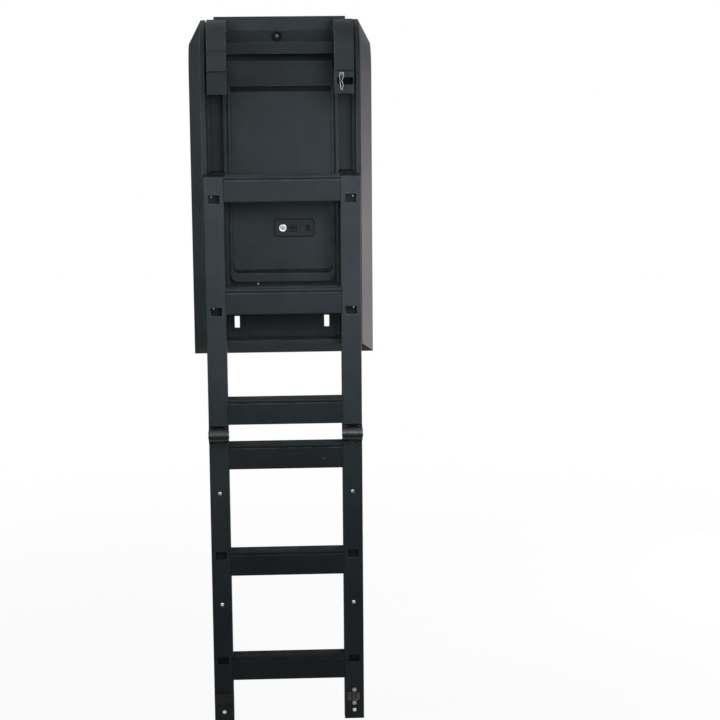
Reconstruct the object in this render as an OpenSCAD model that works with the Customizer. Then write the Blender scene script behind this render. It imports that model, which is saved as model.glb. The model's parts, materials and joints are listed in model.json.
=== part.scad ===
// Folding side ladder in a flared wall housing, as fitted to a pickup truck canopy.
// X runs to the right, Y runs into the canopy, Z is up. The origin lies on the flat back face
// of the housing, on its centre line, level with the lower edge of the canopy side.

/* [Housing] */
// Overall width of the housing over the feet of its cheeks
housing_w = 472; // [440:1:520]
// How far the cheeks and the skirt stand out from the canopy side
housing_depth = 60; // [52:1:62]
// Sideways reach of each flared face
flare = 31; // [15:1:36]
// Width of the flat lip in front of each flare
lip_w = 12; // [8:1:14]
// Sheet thickness of the cheeks and the skirt
shell_t = 2.5; // [2:0.5:4]
// Thickness of the back panel
panel_t = 3; // [2:0.5:4]
// Distance that the housing hangs below the canopy's lower edge
drop = 130; // [110:1:160]
// Height at which the housing starts to bend over the roof edge
bend_z = 604; // [600:1:660]
// Inner radius of that bend
roof_r = 74; // [60:1:90]
// Length of the housing on the roof, behind the bend
roof_run = 34; // [30:1:60]
// Width of each tie slot in the lower panel
tie_slot_w = 13; // [8:1:20]
// Height of each tie slot
tie_slot_h = 31; // [16:1:40]
// Gap between the tie slots and the guide channels
tie_slot_in = 16; // [8:1:50]
// How far both tie slots lie to the left
tie_slot_shift = 4.5; // [0:0.5:6]
// Height of the tie slots' centres
tie_slot_z = -46; // [-56:1:-30]
// Diameter of the fixing holes
fixing_d = 9; // [6:0.5:11]
// Height of the lower pair of fixing holes
fixing_low_z = -40; // [-60:1:20]
// Height of the upper pair of fixing holes
fixing_high_z = 320; // [250:1:420]

/* [Hatch] */
// Height of the hatch's lower edge
hatch_low_z = 95; // [80:1:120]
// Height of the hatch's upper edge
hatch_top_z = 556; // [520:1:560]
// How far the hatch stands out from the back panel
hatch_depth = 13; // [8:1:18]
// Thickness of the hatch's sheet
hatch_t = 3; // [2:0.5:4]
// Corner radius of the hatch
hatch_r = 12; // [6:1:20]
// Gap between the hatch and its frame, at the sides
hatch_side_gap = 1; // [1:0.5:4]
// Gap between the hatch and its frame, at the bottom
hatch_low_gap = 11; // [6:1:16]
// Width of the frame's upright bars
frame_w = 6; // [4:0.5:9]
// Gap between the frame and the guide channels
frame_gap = 4.2; // [4:0.1:20]
// Height of the frame's lower bar
frame_foot = 21; // [14:1:28]
// How far the frame stands out from the back panel
frame_depth = 18; // [14:1:24]
// How far the low flange beside the frame's uprights stands out
frame_flange = 12; // [4:1:14]
// Width of the latch plate
latch_w = 100; // [80:1:120]
// Height of the latch plate
latch_h = 42; // [36:1:50]
// Thickness of the latch plate
latch_t = 3; // [2:0.5:5]
// Distance of the latch plate's centre to the right of the centre line
latch_x = 31; // [10:1:50]
// Height of the latch plate's centre
latch_z = 204; // [180:1:300]
// Diameter of the lock barrel
lock_d = 21; // [16:1:24]
// Width of the push button
button_w = 20; // [14:1:24]
// Height of the push button
button_h = 18; // [12:1:24]
// Width of the finger slot
finger_w = 26; // [16:1:30]
// Height of the finger slot
finger_h = 17; // [12:1:22]
// How far the lock barrel stands out from the latch plate
lock_out = 3; // [1:0.5:6]
// Gap around the lock barrel and the push button
latch_gap = 0.3; // [0.2:0.1:1]

/* [Roof fittings] */
// Lower edge of the header panel
header_low_z = 573; // [565:1:590]
// Upper edge of the header panel
header_top_z = 636; // [620:1:645]
// How far the foot of the header panel stands out
header_depth = 30; // [24:1:36]
// How far the top of the header panel stands out
header_top_depth = 12; // [8:1:16]
// Thickness of the header panel's sheet
header_t = 3; // [2:0.5:4]
// Lower edge of the cross bar
cross_low_z = 655; // [650:1:660]
// Height of the cross bar's front face
cross_h = 29; // [20:1:34]
// How far the cross bar stands out
cross_depth = 40; // [30:1:50]
// Wall of the cross bar
cross_t = 4; // [3:0.5:6]
// Height of the recess above the cross bar's face
recess_h = 30; // [26:1:36]
// How far behind the canopy side the recess lies
recess_back = 10; // [6:1:14]
// Height of the top rail
beam_h = 34; // [24:1:40]
// How far the ends of the top rail stay inside the arms' outer sides
beam_in = 17; // [0:1:30]
// How far behind the canopy side the top rail lies
beam_back = 20; // [16:1:28]
// Depth of the top rail, front to back
beam_d = 28; // [20:1:30]
// Wall of the top rail
beam_t = 3; // [2:0.5:5]
// Width across the flats of the hexagon bolt
hex_w = 22; // [14:1:24]
// Height of the hexagon bolt's head
hex_h = 8; // [5:1:14]
// Distance of the hexagon bolt to the left of the centre line
hex_x = 7; // [0:1:80]

/* [Sockets and arms] */
// Width of each socket block, and of the arm above it
block_w = 50; // [44:1:50]
// How far the blocks' centres lie inside the guides' centres
block_in = 4.7; // [0:0.1:5]
// Height of each socket block
block_h = 59; // [50:1:62]
// Height of the underside of the socket blocks
block_low_z = 556; // [550:1:558]
// How far the socket blocks stand out
block_depth = 100; // [90:1:101]
// Wall of the socket blocks
block_t = 3; // [2:0.5:4]
// Width of the staple slot in the right-hand block
staple_slot_w = 42; // [30:1:44]
// How far the slot lies to the outside of the block's centre
staple_slot_out = 2; // [0:0.5:3]
// Height of the staple slot
staple_slot_h = 18; // [16:1:24]
// Height of the staple slot's centre above the block's underside
staple_slot_z = 32; // [26:1:36]
// How far the arms stand out
arm_depth = 96; // [80:1:98]
// Height of the arms' straight part
arm_h = 52; // [40:1:56]
// Outer radius of the arms where they bend over the roof edge
arm_r = 74; // [60:1:76]
// Depth of the arms' side flanges
arm_flange = 30; // [16:1:40]
// Wall of the arms
arm_t = 4; // [3:0.5:6]
// Gap between an arm and the block below it
arm_gap = 0.3; // [0.2:0.1:2]

/* [Guides] */
// Width of each guide channel
guide_w = 52; // [48:1:52]
// Depth of each guide channel
guide_depth = 30; // [24:1:34]
// Wall of the guide channels
guide_t = 3; // [2:0.5:4]
// Width of the lips that hold the shoes in
guide_lip = 5; // [4:0.5:8]
// Gap between a guide channel and the housing's side
guide_gap = 0.3; // [0.2:0.1:1]
// Height of the guide channels' lower end
guide_low_z = -80; // [-84:1:-60]
// Running gap between a shoe and its channel
shoe_gap = 1; // [0.5:0.1:2]
// Height of each sliding shoe
shoe_h = 60; // [40:1:90]
// Distance from one shoe to the next
shoe_pitch = 200; // [120:1:260]
// How far the upper shoes reach above the tops of the ladder's rails
shoe_above = 4; // [0:0.5:4]
// Travel of the ladder in its guides
travel = 188; // [150:1:196]
// Height of the stops below the shoes
stop_h = 20; // [10:1:40]
// Gap that stays between a shoe and its stop
stop_gap = 0.3; // [0.2:0.1:1]

/* [Ladder] */
// How far the rails' centres lie outside the guides' centres
rail_out = 8.3; // [0:0.1:9]
// Width of each rail, seen from the front
rail_w = 52; // [44:1:54]
// Depth of each rail, front to back
rail_d = 40; // [30:1:44]
// Wall of the rails
rail_t = 2.5; // [2:0.5:4]
// Corner radius of the rails
rail_r = 4; // [3:0.5:6]
// Gap between the cheeks and the back of the ladder
rail_gap = 6; // [5:1:8]
// Height of the tops of the upper rails
rail_top_z = 350; // [345:1:352]
// Height of the fold hinges
hinge_z = -328; // [-345:1:-320]
// Length of the lower section below the hinges
lower_len = 791; // [785:1:810]
// Height of each rung
rung_h = 68; // [50:1:70]
// Wall of the rungs
rung_t = 2.5; // [2:0.5:4]
// Radius of the rungs' rounded nose
nose_r = 5; // [3:0.5:7]
// How far the nose stands out from the rung's face
nose_out = 2; // [1:0.5:2.5]
// Height of the line below the nose
line_h = 2.5; // [1.5:0.5:4]
// Depth of the line below the nose
line_d = 1.5; // [1:0.5:2]
// Depth of the grooves in the treads
groove = 1; // [0.5:0.1:1.5]
// Distance between the rungs of the upper section
upper_pitch = 292; // [280:1:292]
// Distance between the rungs of the lower section
lower_pitch = 291; // [270:1:300]
// Distance from the hinges to the nearest edge of the rungs next to them
hinge_rung = 26; // [26:1:40]
// Height of the upper windows' centres above the underside of their rungs
window_above = 8; // [0:1:14]
// Distance of the lower windows' centres below the tops of their rungs
window_below = 12; // [6:1:20]
// Width of the windows in the rails
window_w = 30; // [16:1:34]
// Height of the windows
window_h = 22; // [14:1:26]
// Diameter of the holes through the lower rails
rail_hole_d = 9; // [5:0.5:12]
// Distance from the hinges to the first of those holes
rail_hole_first = 158; // [140:1:180]
// Distance between those holes
rail_hole_pitch = 305; // [280:1:320]

/* [Hinges] */
// Radius of the hinge barrels
barrel_r = 19; // [14:1:20]
// Distance from the hinges' axis to the ends of the rails
rail_end = 26; // [26:1:32]
// Distance of the hinges' axis in front of the rails
axis_out = 5; // [5:0.5:8]
// Width of each ear of the hinge forks
ear_w = 11; // [8:0.5:14]
// Side gap between the ears and the knuckle
ear_gap = 0.5; // [0.2:0.1:1]
// Diameter of the hinge pins
pin_d = 10; // [8:0.5:14]
// Running gap around the hinge pins
pin_gap = 0.05; // [0.02:0.01:0.1]
// Length of the plugs in the rail ends
plug_len = 30; // [20:1:50]
// Gap around the plugs
plug_gap = 0.3; // [0.1:0.1:0.5]
// Thickness of the flanges that close the rail ends
flange_t = 3; // [2:0.5:3]
// Thickness of the wall behind each knuckle
back_wall = 18; // [8:1:18]
// Gap below that wall
back_gap = 5; // [5:0.5:8]
// Thickness of the pins' heads
pin_head_t = 1.5; // [1:0.5:3]

/* [Foot and clip] */
// Diameter of the staple's wire
staple_wire = 4; // [3:0.5:4.5]
// Width of the staple over its wires
staple_w = 14; // [13:0.5:15]
// How far the staple lies inside the centre of its rail
staple_in = 2; // [0:0.5:3]
// How far the staple stands out from the right-hand rail
staple_out = 34; // [26:1:36]
// Width of the staple's base plate
staple_plate_w = 32; // [20:1:40]
// Thickness of the staple's base plate
staple_plate_t = 2; // [1:0.5:2]
// Height of the staple's base plate
staple_plate_h = 22; // [16:1:24]
// Thickness of the buffer pad on the left-hand rail
pad_t = 8; // [4:1:10]
// Height of the buffer pad
pad_h = 26; // [16:1:30]
// Diameter of the holes near the feet
foot_hole_d = 10; // [6:0.5:11]
// Distance from the foot's end to the lowest of those holes
foot_hole_low = 26; // [22:1:28]
// Distance from the staple to the holes above and below it
foot_hole_pitch = 18.5; // [18:0.5:20]
// Thickness of the feet's end caps
foot_t = 4; // [3:0.5:8]
// Length of the plugs that hold the end caps
foot_plug = 12; // [8:1:15]
// Diameter of the clip's wire
clip_wire = 3.2; // [2.5:0.1:4]
// Radius of the clip's eye, at the middle of the wire
clip_eye_r = 6.5; // [5:0.5:8]
// Length of the clip's legs
clip_len = 34; // [24:1:36]
// Distance of the clip from the centre line
clip_x = 155; // [150:1:155]
// Diameter of the peg that the clip hangs on
peg_d = 5; // [3:0.5:6]
// Gap between the clip and what it hangs on
clip_gap = 0.3; // [0.2:0.1:0.5]

/* [Hidden] */

// Smoothness of true curves, and a small overlap that keeps cuts clean
$fn = 64;
cut = 1;

// Housing, as half widths from the centre line
outer_x = housing_w / 2;
lip_outer_x = outer_x - flare;
inner_x = lip_outer_x - lip_w;
roof_z = bend_z + roof_r;
roof_end = roof_r + roof_run;
flare_slant = sqrt(flare * flare + housing_depth * housing_depth) / housing_depth;

// Guides and what stands in line with them
guide_x = inner_x - guide_gap - guide_w / 2;
block_x = guide_x - block_in;
block_top_z = block_low_z + block_h;
slot_z = block_low_z + staple_slot_z;
arm_low_z = block_top_z + arm_gap;
arm_bend_z = arm_low_z + arm_h;
arm_top_z = arm_bend_z + arm_r;
guide_top_z = block_low_z;

tie_slot_x = guide_x - guide_w / 2 - tie_slot_in - tie_slot_w / 2;

// Hatch frame
frame_x = guide_x - guide_w / 2 - frame_gap;
hatch_w = 2 * (frame_x - frame_w - hatch_side_gap);
frame_low_z = hatch_low_z - hatch_low_gap - frame_foot;
hatch_front = panel_t + hatch_depth;
lock_x = latch_x - latch_w * 0.3;
button_x = latch_x - latch_w * 0.04;
finger_x = latch_x + latch_w * 0.27;

// Roof fittings
cross_half = block_x - block_w / 2 - arm_gap;
beam_w = 2 * (block_x + block_w / 2 - beam_in);
cross_top_z = cross_low_z + cross_h;
recess_top_z = cross_top_z + recess_h;
cross_rear = roof_r + cross_t;
header_bulge = header_depth - header_top_depth;
header_h = header_top_z - header_low_z;
header_r = (header_h * header_h + header_bulge * header_bulge) / (2 * header_bulge);

// Ladder, with depths measured out from the canopy side
rail_back = housing_depth + rail_gap;
rail_front = rail_back + rail_d;
rail_x = guide_x + rail_out;
rung_half = rail_x - rail_w / 2;
axis_depth = rail_front + axis_out;
upper_rail_low = hinge_z + rail_end;
lower_rail_high = hinge_z - rail_end;
lower_rail_low = hinge_z - lower_len + foot_t;
rung_3_z = hinge_z + hinge_rung;
rung_4_z = hinge_z - hinge_rung - rung_h;

// The staple meets its slot when the ladder is slid up and folded
staple_z = 2 * hinge_z + travel - slot_z;
shoe_low_z = rail_top_z + shoe_above - shoe_h - shoe_pitch;
knuckle_half = rail_w / 2 - ear_w - ear_gap;

steel = [0.16, 0.17, 0.18];
dark = [0.1, 0.105, 0.11];
bright = [0.75, 0.76, 0.78];
rubber = [0.2, 0.2, 0.2];

// Helpers

// Carries a side view, drawn as [y, z], along X
module along_x(x0, x1) {
    translate([x0, 0, 0]) rotate([90, 0, 90]) linear_extrude(x1 - x0) children();
}

// Carries a front view, drawn as [x, z], from one depth out to another
module outward(d0, d1) {
    translate([0, -d0, 0]) rotate([90, 0, 0]) linear_extrude(d1 - d0) children();
}

module on_side(side) {
    if (side < 0) mirror([1, 0, 0]) children();
    else children();
}

module round_rect(w, h, r) {
    square([w - 2 * r, h], center = true);
    square([w, h - 2 * r], center = true);
    for (sx = [-1, 1], sy = [-1, 1])
        translate([sx * (w / 2 - r), sy * (h / 2 - r)]) circle(r);
}

// A hole along Y through everything between two depths
module hole_y(x, z, d, d0, d1) {
    translate([x, -d0 + cut, z]) rotate([90, 0, 0]) cylinder(d = d, h = d1 - d0 + 2 * cut);
}

// Housing

// Band of constant thickness that climbs the canopy side and bends over the roof edge
module wrap_profile(v0, v1, z0, y1) {
    translate([-v1, z0]) square([v1 - v0, bend_z - z0]);
    translate([roof_r, bend_z]) intersection() {
        difference() {
            circle(roof_r + v1, $fn = 128);
            circle(roof_r + v0, $fn = 128);
        }
        translate([-roof_r - v1, 0]) square([roof_r + v1, roof_r + v1]);
    }
    translate([roof_r, roof_z + v0]) square([y1 - roof_r, v1 - v0]);
}

module back_panel() {
    color(steel) difference() {
        along_x(-inner_x, inner_x) wrap_profile(0, panel_t, -drop + flare + lip_w, roof_end);
        outward(-cut, panel_t + cut)
            translate([0, (hatch_low_z + hatch_top_z) / 2])
            round_rect(hatch_w - 4 * frame_w, hatch_top_z - hatch_low_z - 4 * frame_w, hatch_r);
        for (s = [-1, 1])
            translate([s * tie_slot_x - tie_slot_shift - tie_slot_w / 2, -panel_t - cut, tie_slot_z - tie_slot_h / 2])
                cube([tie_slot_w, panel_t + 2 * cut, tie_slot_h]);
        for (s = [-1, 1], z = [fixing_low_z, fixing_high_z])
            hole_y(s * guide_x, z, fixing_d, 0, panel_t);
    }
}

// Section of a flared wall: foot, flare, lip and inner wall, as [distance from centre, depth]
function flared_section(reach) = [
    [reach, 0],
    [reach - flare, housing_depth],
    [reach - flare - lip_w, housing_depth],
    [reach - flare - lip_w, 0],
    [reach - flare - lip_w + shell_t, 0],
    [reach - flare - lip_w + shell_t, housing_depth - shell_t],
    [reach - flare * (housing_depth - shell_t) / housing_depth - shell_t * flare_slant, housing_depth - shell_t],
    [reach - shell_t * flare_slant, 0]
];

// Everything above or below the mitre plane between a cheek and the skirt
module mitre_block(above) {
    reach = 2 * housing_w;
    translate([outer_x, 0, -drop]) rotate([0, 45, 0])
        translate([-reach, -reach, above ? 0 : -reach]) cube([2 * reach, 2 * reach, reach]);
}

module cheek(side) {
    section = flared_section(outer_x);
    color(steel) on_side(side) {
        difference() {
            translate([0, 0, -drop]) linear_extrude(bend_z + drop)
                polygon([for (p = section) [p[0], -p[1]]]);
            mitre_block(false);
        }
        translate([0, roof_r, bend_z]) rotate([0, -90, 180])
            rotate_extrude(angle = 90, $fn = 128) polygon([for (p = section) [roof_r + p[1], p[0]]]);
        translate([0, roof_r, roof_z]) rotate([-90, 0, 0])
            linear_extrude(roof_run) polygon([for (p = section) [p[0], -p[1]]]);
    }
}

module cheek_left() {
    cheek(-1);
}

module cheek_right() {
    cheek(1);
}

module bottom_skirt() {
    section = flared_section(drop);
    color(steel) difference() {
        along_x(-outer_x, outer_x) polygon([for (p = section) [-p[1], -p[0]]]);
        for (s = [-1, 1])
            on_side(s) mitre_block(true);
    }
}

// Hatch

module frame_outline(x, z0, r) {
    translate([0, (z0 + header_low_z) / 2]) round_rect(2 * x, header_low_z - z0, r);
    translate([-x, (z0 + header_low_z) / 2]) square([2 * x, (header_low_z - z0) / 2]);
}

module hatch_frame() {
    color(steel) outward(panel_t, panel_t + frame_depth) difference() {
        frame_outline(frame_x, frame_low_z, hatch_r + frame_w);
        translate([0, cut]) frame_outline(frame_x - frame_w, frame_low_z + frame_foot, hatch_r);
    }
    flange_x = frame_x - frame_w / 2;
    color(steel) for (s = [-1, 1])
        on_side(s) translate([flange_x, -panel_t - frame_flange, frame_low_z + hatch_r + frame_w])
            cube([guide_x - guide_w / 2 - guide_gap - flange_x, frame_flange,
                min(header_low_z, block_low_z - arm_gap) - frame_low_z - hatch_r - frame_w]);
}

module hatch_outline(inset) {
    h = hatch_top_z - hatch_low_z - 2 * inset;
    translate([0, (hatch_low_z + hatch_top_z) / 2]) round_rect(hatch_w - 2 * inset, h, hatch_r - inset);
    translate([-hatch_w / 2 + inset, hatch_top_z - inset - h / 2]) square([hatch_w - 2 * inset, h / 2]);
}

module hatch_panel() {
    color(steel) difference() {
        outward(panel_t, hatch_front) hatch_outline(0);
        outward(panel_t - cut, hatch_front - hatch_t) hatch_outline(hatch_t);
    }
}

module latch_plate() {
    color(dark) difference() {
        outward(hatch_front, hatch_front + latch_t)
            translate([latch_x, latch_z]) round_rect(latch_w, latch_h, latch_h / 7);
        hole_y(lock_x, latch_z, lock_d + 2 * latch_gap, hatch_front, hatch_front + latch_t);
        outward(hatch_front - cut, hatch_front + latch_t + cut) {
            translate([button_x, latch_z]) square([button_w + 2 * latch_gap, button_h + 2 * latch_gap], center = true);
            translate([finger_x, latch_z]) square([finger_w, finger_h], center = true);
        }
    }
    color(dark) outward(hatch_front, hatch_front + latch_t / 2)
        translate([finger_x - finger_w / 2 - cut, latch_z - finger_h / 2]) square([finger_w * 0.72 + cut, finger_h]);
}

module lock_barrel() {
    face = hatch_front + latch_t + lock_out;
    color(bright) difference() {
        translate([lock_x, -hatch_front, latch_z]) rotate([90, 0, 0])
            cylinder(d = lock_d, h = face - hatch_front);
        outward(face - lock_out, face + cut)
            translate([lock_x, latch_z]) square([lock_d / 9, lock_d / 2.2], center = true);
    }
}

module latch_button() {
    color(dark) outward(hatch_front, hatch_front + latch_t)
        translate([button_x, latch_z]) round_rect(button_w, button_h, button_h / 9);
}

// Roof fittings

// Hollow strip with a concave face that leads from the cross bar down to the hatch
module header_panel() {
    centre = [-header_top_depth - header_r, header_top_z];
    color(steel) along_x(-cross_half, cross_half) difference() {
        translate([-header_depth, header_low_z]) square([header_depth - panel_t, header_h]);
        translate(centre) circle(header_r, $fn = 128);
        difference() {
            translate([-header_depth, header_low_z + header_t])
                square([header_depth - panel_t - header_t, header_h - 2 * header_t]);
            translate(centre) circle(header_r + header_t, $fn = 128);
        }
    }
}

// Stepped profile that bridges the roof edge: front face, recess and rear leg
module cross_bar() {
    t = cross_t;
    arm_side = block_x + block_w / 2 + arm_gap;
    plate_half = inner_x - guide_gap;
    color(steel) along_x(-plate_half, plate_half) translate([recess_back, cross_low_z])
        square([t, arm_top_z - arm_flange - arm_gap - cross_low_z]);
    color(steel) for (s = [-1, 1])
        on_side(s) along_x(arm_side, plate_half) translate([recess_back, cross_low_z])
            square([t, roof_z + housing_depth - shell_t - cross_low_z]);
    color(steel) along_x(-cross_half, cross_half) polygon([
        [-cross_depth, cross_low_z],
        [-cross_depth, cross_top_z],
        [recess_back, cross_top_z],
        [recess_back, recess_top_z],
        [cross_rear, recess_top_z],
        [cross_rear, roof_z + panel_t],
        [cross_rear - t, roof_z + panel_t],
        [cross_rear - t, recess_top_z - t],
        [recess_back + t, recess_top_z - t],
        [recess_back + t, cross_top_z - t],
        [-cross_depth + t, cross_top_z - t],
        [-cross_depth + t, cross_low_z + t],
        [-cross_depth + 3 * t, cross_low_z + t],
        [-cross_depth + 3 * t, cross_low_z]
    ]);
}

module top_rail() {
    color(steel) along_x(-beam_w / 2, beam_w / 2) translate([beam_back, recess_top_z]) difference() {
        square([beam_d, beam_h]);
        translate([beam_t, beam_t]) square([beam_d - 2 * beam_t, beam_h - 2 * beam_t]);
    }
}

module hex_bolt() {
    color(dark) translate([-hex_x, recess_back, (cross_top_z + recess_top_z) / 2]) rotate([90, 0, 0])
        cylinder(d = hex_w / cos(30), h = hex_h, $fn = 6);
}

// Sockets and arms

// Folded box, open below and behind, with a slot in its face on the right
module socket_block(side) {
    depth = block_depth - panel_t;
    color(steel) on_side(side) translate([block_x - block_w / 2, -block_depth, block_low_z]) difference() {
        cube([block_w, depth, block_h]);
        translate([block_t, block_t, -cut]) cube([block_w - 2 * block_t, depth, block_h - block_t + cut]);
        if (side > 0)
            translate([(block_w - staple_slot_w) / 2 + staple_slot_out, -cut, staple_slot_z - staple_slot_h / 2])
                cube([staple_slot_w, block_t + 2 * cut, staple_slot_h]);
    }
}

module socket_block_left() {
    socket_block(-1);
}

module socket_block_right() {
    socket_block(1);
}

// Side view of an arm: up the front, round the roof edge and back to the top rail
module arm_profile(thick) {
    centre_y = arm_r - arm_depth;
    translate([-arm_depth, arm_low_z]) square([thick, arm_h]);
    translate([centre_y, arm_bend_z]) intersection() {
        difference() {
            circle(arm_r, $fn = 128);
            circle(arm_r - thick, $fn = 128);
        }
        translate([-arm_r, 0]) square(arm_r);
    }
    translate([centre_y, arm_bend_z + arm_r - thick]) square([beam_back - centre_y - arm_gap, thick]);
}

module roof_arm(side) {
    inner = block_x - block_w / 2;
    outer = block_x + block_w / 2;
    color(steel) on_side(side) {
        along_x(inner, outer) arm_profile(arm_t);
        along_x(inner, inner + arm_t) arm_profile(arm_flange);
        along_x(outer - arm_t, outer) arm_profile(arm_flange);
    }
}

module roof_arm_left() {
    roof_arm(-1);
}

module roof_arm_right() {
    roof_arm(1);
}

// Guides

module guide_channel(side) {
    inner = guide_w - 2 * guide_t;
    color(steel) on_side(side) difference() {
        translate([guide_x, 0, guide_low_z]) linear_extrude(guide_top_z - guide_low_z) difference() {
            translate([-guide_w / 2, -panel_t - guide_depth]) square([guide_w, guide_depth]);
            translate([-inner / 2, -panel_t - guide_depth + guide_t]) square([inner, guide_depth - 2 * guide_t]);
            translate([-inner / 2 + guide_lip, -panel_t - guide_depth - cut])
                square([inner - 2 * guide_lip, guide_t + 2 * cut]);
        }
        for (z = [fixing_low_z, fixing_high_z])
            hole_y(guide_x, z, fixing_d, panel_t, panel_t + guide_t);
    }
}

module guide_channel_left() {
    guide_channel(-1);
}

module guide_channel_right() {
    guide_channel(1);
}

module guide_stops() {
    w = guide_w - 2 * guide_t - 2 * guide_gap;
    top = shoe_low_z - stop_gap;
    color(rubber) for (s = [-1, 1])
        translate([s * guide_x - w / 2, -panel_t - guide_depth + guide_t + guide_gap, top - stop_h])
            cube([w, guide_depth - 2 * guide_t - guide_gap, stop_h]);
}

// Two T-shaped shoes on the back of a rail, one above the other
module slide_shoes(side) {
    head_w = guide_w - 2 * guide_t - 2 * shoe_gap;
    neck_w = head_w - 2 * guide_lip;
    head_back = panel_t + guide_t + shoe_gap;
    head_front = panel_t + guide_depth - guide_t - shoe_gap;
    color(dark) on_side(side) for (z = [shoe_low_z, shoe_low_z + shoe_pitch])
        translate([guide_x, 0, z]) linear_extrude(shoe_h) {
            translate([-head_w / 2, -head_front]) square([head_w, head_front - head_back]);
            translate([-neck_w / 2, -rail_back]) square([neck_w, rail_back - head_front]);
        }
}

module slide_shoes_left() {
    slide_shoes(-1);
}

module slide_shoes_right() {
    slide_shoes(1);
}

// Ladder

// Section of a rail seen from above, shrunk all round by an inset
module rail_section(inset) {
    translate([rail_x, -rail_back - rail_d / 2])
        round_rect(rail_w - 2 * inset, rail_d - 2 * inset, max(rail_r - inset, 1));
}

module rail_tube(z0, z1) {
    translate([0, 0, z0]) linear_extrude(z1 - z0) difference() {
        rail_section(0);
        rail_section(rail_t);
    }
}

// Closed end of a rail: a flange on the outside and a plug within
module rail_end_plug(z, thick, plug, up) {
    translate([0, 0, up ? z - thick : z]) linear_extrude(thick) rail_section(0);
    translate([0, 0, up ? z : z - plug]) linear_extrude(plug) rail_section(rail_t + plug_gap);
}

module rail_window(z) {
    outward(rail_front - rail_t - cut, rail_front + cut)
        translate([rail_x, z]) round_rect(window_w, window_h, window_h / 7);
}

module upper_rail(side) {
    color(steel) on_side(side) difference() {
        rail_tube(upper_rail_low, rail_top_z - flange_t);
        for (n = [1, 2])
            rail_window(rung_3_z + n * upper_pitch + window_above);
    }
}

module upper_rail_left() {
    upper_rail(-1);
}

module upper_rail_right() {
    upper_rail(1);
}

module rail_top_caps() {
    color(dark) for (s = [-1, 1])
        on_side(s) rail_end_plug(rail_top_z - flange_t, flange_t, plug_len, false);
}

module lower_rail(side) {
    foot = hinge_z - lower_len;
    holes = side > 0 ? [foot + foot_hole_low, staple_z - foot_hole_pitch, staple_z + foot_hole_pitch]
                     : [foot + foot_hole_low];
    color(steel) on_side(side) difference() {
        rail_tube(lower_rail_low, lower_rail_high);
        for (n = [1, 2])
            rail_window(rung_4_z - n * lower_pitch + rung_h - window_below);
        for (n = [0, 1])
            hole_y(rail_x, hinge_z - rail_hole_first - n * rail_hole_pitch, rail_hole_d, rail_back, rail_front);
        for (z = holes)
            hole_y(rail_x, z, foot_hole_d, rail_back, rail_front);
    }
}

module lower_rail_left() {
    lower_rail(-1);
}

module lower_rail_right() {
    lower_rail(1);
}

module foot_caps() {
    color(rubber) for (s = [-1, 1])
        on_side(s) rail_end_plug(lower_rail_low, foot_t, foot_plug, true);
}

// Side view of a rung: hollow, with a rounded nose and a grooved tread
module rung_profile() {
    grooves = 4;
    foot_r = nose_r - 2;
    tread = rail_d + nose_out - nose_r;
    inside = rail_d - line_d - 2 * rung_t;
    difference() {
        union() {
            translate([-rail_back - tread, 0]) square([tread, rung_h]);
            translate([-rail_back - tread, rung_h - nose_r]) circle(nose_r);
            translate([-rail_front, foot_r]) square([rail_d, rung_h - 2 * nose_r - line_h - foot_r]);
            translate([-rail_front + foot_r, 0]) square([rail_d - foot_r, rung_h / 2]);
            translate([-rail_front + foot_r, foot_r]) circle(foot_r);
            translate([-rail_front + line_d, foot_r]) square([rail_d - line_d, rung_h - nose_r - foot_r]);
        }
        translate([-rail_back - rung_t - inside, rung_t])
            square([inside, rung_h - 2 * rung_t - groove - nose_r]);
        for (n = [1:grooves])
            translate([-rail_back - n * tread / (grooves + 1) - groove, rung_h - groove])
                square([2 * groove, groove + cut]);
    }
}

module rung(z) {
    color(steel) along_x(-rung_half, rung_half) translate([0, z]) rung_profile();
}

module rung_1() {
    rung(rung_3_z + 2 * upper_pitch);
}

module rung_2() {
    rung(rung_3_z + upper_pitch);
}

module rung_3() {
    rung(rung_3_z);
}

module rung_4() {
    rung(rung_4_z);
}

module rung_5() {
    rung(rung_4_z - lower_pitch);
}

module rung_6() {
    rung(rung_4_z - 2 * lower_pitch);
}

// Hinges

// Side view of an ear or knuckle: the barrel and the web that joins it to the rail's end
module barrel_profile(up) {
    web = rail_end - flange_t;
    difference() {
        union() {
            translate([-axis_depth, hinge_z]) circle(barrel_r);
            translate([-rail_front, up ? hinge_z : hinge_z - web]) square([rail_d - 2, web]);
        }
        translate([-axis_depth, hinge_z]) circle(pin_d / 2 + pin_gap);
    }
}

module hinge_fork(side) {
    color(dark) on_side(side) {
        for (x = [rail_x - rail_w / 2, rail_x + rail_w / 2 - ear_w])
            along_x(x, x + ear_w) barrel_profile(true);
        rail_end_plug(hinge_z + rail_end, flange_t, plug_len, true);
        translate([rail_x - rail_w / 2, -rail_back - 2 - back_wall, hinge_z + back_gap])
            cube([rail_w, back_wall, rail_end - flange_t - back_gap]);
    }
}

module hinge_fork_left() {
    hinge_fork(-1);
}

module hinge_fork_right() {
    hinge_fork(1);
}

module hinge_knuckle(side) {
    color(dark) on_side(side) {
        along_x(rail_x - knuckle_half, rail_x + knuckle_half) barrel_profile(false);
        rail_end_plug(hinge_z - rail_end, flange_t, plug_len, false);
    }
}

module hinge_knuckle_left() {
    hinge_knuckle(-1);
}

module hinge_knuckle_right() {
    hinge_knuckle(1);
}

module hinge_pin(side) {
    half = rail_w / 2;
    color(bright) translate([side * rail_x, -axis_depth, hinge_z]) rotate([0, 90, 0]) {
        cylinder(d = pin_d, h = rail_w, center = true);
        for (s = [-1, 1])
            translate([0, 0, s * (half + pin_head_t / 2)]) cylinder(d = 2 * pin_d, h = pin_head_t, center = true);
    }
}

module hinge_pin_left() {
    hinge_pin(-1);
}

module hinge_pin_right() {
    hinge_pin(1);
}

// Foot and clip

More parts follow.
